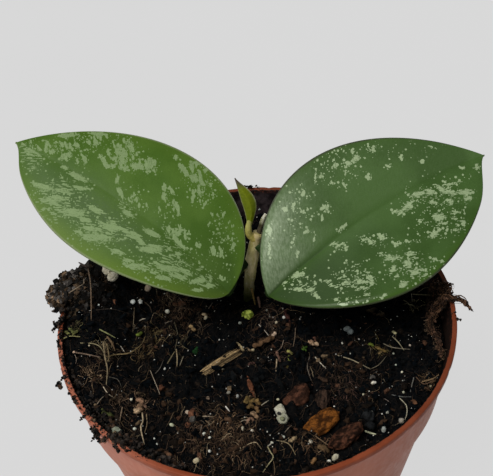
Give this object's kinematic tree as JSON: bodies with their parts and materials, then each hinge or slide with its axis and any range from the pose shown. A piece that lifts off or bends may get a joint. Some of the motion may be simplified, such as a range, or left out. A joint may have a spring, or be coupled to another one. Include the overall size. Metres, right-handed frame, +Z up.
{
  "type": "potted hoya plant",
  "caption": "Rooted hoya cutting with a pair of splashed leaves and a young shoot, in a round terracotta-coloured nursery pot of bark mix.",
  "frame": {"origin": "centre of the pot's underside, on the surface it stands on", "axes": "+Z up the pot, -Y to the side the leaves face, +X to the right-hand leaf seen from there"},
  "size_m": [0.1028, 0.09, 0.1037],
  "materials": {
    "pot_plastic": "satin",
    "soil": "matte",
    "stem": "matte",
    "leaf": "satin",
    "young_leaf": "satin",
    "bark": "matte",
    "splinter": "matte",
    "roots": "matte",
    "perlite": "matte"
  },
  "bodies": {
    "root": {"pot": "pot_plastic", "soil": "soil", "soil_heap": "soil", "stem": "stem", "leaf_left": "leaf", "leaf_right": "leaf", "young_shoot": "young_leaf", "bark_chip_mauve": "bark", "bark_chip_wrinkled": "bark", "bark_chip_orange": "bark", "bark_chip_brown": "bark", "wood_splinter": "splinter", "bark_needle": "bark", "green_bud": "young_leaf", "root_clump": "roots"}
  },
  "joints": []
}
